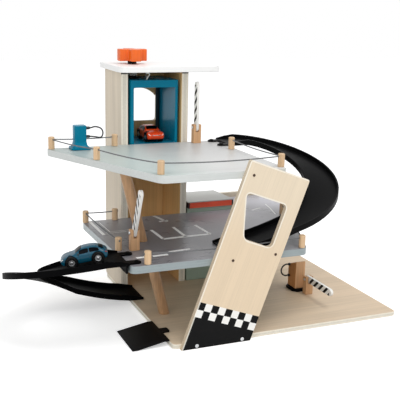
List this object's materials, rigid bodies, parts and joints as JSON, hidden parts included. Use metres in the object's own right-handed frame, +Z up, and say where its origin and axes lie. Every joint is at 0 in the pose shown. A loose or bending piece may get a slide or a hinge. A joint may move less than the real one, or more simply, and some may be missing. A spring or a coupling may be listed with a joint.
{
  "type": "toy parking garage",
  "caption": "Wooden toy parking garage with a crank lift tower, two decks, spiral ramps, barriers, charger, pump and toy cars.",
  "frame": {"origin": "centre of the base board's underside", "axes": "+X along the front edge to the right, +Y from the front towards the tower, +Z up"},
  "size_m": [0.6583, 0.3883, 0.4469],
  "materials": {
    "plywood": "satin",
    "birch": "satin",
    "dowel_wood": "satin",
    "white_paint": "satin",
    "light_grey_paint": "satin",
    "dark_grey_paint": "gloss",
    "green_paint": "matt",
    "red_paint": "gloss",
    "black_plastic": "satin",
    "teal_plastic": "gloss",
    "orange_plastic": "gloss",
    "car_orange": "gloss",
    "car_blue": "gloss",
    "tyre": "matt",
    "steel": "brushed",
    "cord": "matt",
    "white_cord": "matt",
    "hose_rubber": "matt"
  },
  "bodies": {
    "garage": {"base_board": "plywood", "tower_left_wall": "plywood", "tower_right_wall": "plywood", "tower_back_wall": "plywood", "rear_wall": "plywood", "front_panel": "birch", "ground_column": "dowel_wood", "mid_column": "dowel_wood", "pump_body": "dowel_wood", "upper_post_1": "dowel_wood", "upper_post_2": "dowel_wood", "upper_post_3": "dowel_wood", "upper_post_4": "dowel_wood", "upper_post_5": "dowel_wood", "upper_post_6": "dowel_wood", "mid_post_1": "dowel_wood", "mid_post_2": "dowel_wood", "mid_post_3": "dowel_wood", "mid_post_4": "dowel_wood", "mid_post_5": "dowel_wood", "mid_post_6": "dowel_wood", "upper_barrier_block": "dowel_wood", "mid_barrier_block": "dowel_wood", "ground_barrier_block": "dowel_wood", "roof_plate": "white_paint", "upper_barrier_pin": "steel", "mid_barrier_pin": "steel", "ground_barrier_pin": "steel", "upper_deck": "light_grey_paint", "kiosk_roof": "light_grey_paint", "mid_deck": "dark_grey_paint", "kiosk_walls": "green_paint", "kiosk_fascia": "red_paint", "lower_spiral_ramp": "black_plastic", "upper_spiral_ramp": "black_plastic", "entry_ramp": "black_plastic", "pump_plate": "black_plastic", "charger_plate": "teal_plastic", "charger_body": "teal_plastic", "upper_fence_cord": "cord", "mid_fence_cord_left": "cord", "mid_fence_cord_right": "cord", "charger_cable": "cord", "lift_cord": "white_cord", "winding_cord": "white_cord", "guide_eye": "steel", "pump_hose": "hose_rubber"},
    "lift": {"lift_cabin": "teal_plastic", "lift_eye": "steel"},
    "winder": {"winding_spindle": "black_plastic", "winding_knob": "orange_plastic"},
    "upper_boom": {"upper_barrier_boom": "white_paint"},
    "mid_boom": {"mid_barrier_boom": "white_paint"},
    "ground_boom": {"ground_barrier_boom": "white_paint"},
    "orange_car": {"orange_car_body": "car_orange"},
    "orange_front_axle": {"orange_car_front_wheels": "tyre"},
    "orange_rear_axle": {"orange_car_rear_wheels": "tyre"},
    "blue_car": {"blue_car_body": "car_blue"},
    "blue_front_axle": {"blue_car_front_wheels": "tyre"},
    "blue_rear_axle": {"blue_car_rear_wheels": "tyre"}
  },
  "joints": [
    {"name": "lift_slide", "type": "slide", "parent": "garage", "child": "lift", "axis": [0, 0, 1], "range_m": [-0.2674, 0], "deforming": ["lift_cord"]},
    {"name": "knob_turn", "type": "hinge", "parent": "garage", "child": "winder", "pos_m": [-0.177, 0.128, 0.43], "axis": [0, 0, 1], "range_deg": [-1800, 0]},
    {"name": "upper_boom_swing", "type": "hinge", "parent": "garage", "child": "upper_boom", "pos_m": [-0.0715, 0.072, 0.3088], "axis": [1, 0, 0], "range_deg": [0, 90]},
    {"name": "mid_boom_swing", "type": "hinge", "parent": "garage", "child": "mid_boom", "pos_m": [-0.249, -0.1055, 0.1728], "axis": [1, 0, 0], "range_deg": [-24, 60]},
    {"name": "ground_boom_swing", "type": "hinge", "parent": "garage", "child": "ground_boom", "pos_m": [0.1075, -0.0545, 0.0368], "axis": [-1, 0, 0], "range_deg": [0, 90]},
    {"name": "orange_car_roll", "type": "slide", "parent": "lift", "child": "orange_car", "axis": [0, -1, 0], "range_m": [0, 0.12]},
    {"name": "orange_front_wheels_turn", "type": "hinge", "parent": "orange_car", "child": "orange_front_axle", "pos_m": [-0.143, 0.1035, 0.2895], "axis": [1, 0, 0], "continuous": true},
    {"name": "orange_rear_wheels_turn", "type": "hinge", "parent": "orange_car", "child": "orange_rear_axle", "pos_m": [-0.143, 0.1435, 0.2895], "axis": [1, 0, 0], "continuous": true},
    {"name": "blue_car_roll", "type": "slide", "parent": "garage", "child": "blue_car", "axis": [-0.9529, 0.2418, -0.1831], "range_m": [0, 0.012]},
    {"name": "blue_front_wheels_turn", "type": "hinge", "parent": "blue_car", "child": "blue_front_axle", "pos_m": [-0.35837, -0.13688, 0.14876], "axis": [-0.2459, -0.9693, 0], "continuous": true},
    {"name": "blue_rear_wheels_turn", "type": "hinge", "parent": "blue_car", "child": "blue_rear_axle", "pos_m": [-0.32025, -0.14655, 0.15609], "axis": [-0.2459, -0.9693, 0], "continuous": true}
  ],
  "couplings": [
    {"joint": "knob_turn", "follows": "lift_slide", "rad_per_m": 116.28}
  ]
}
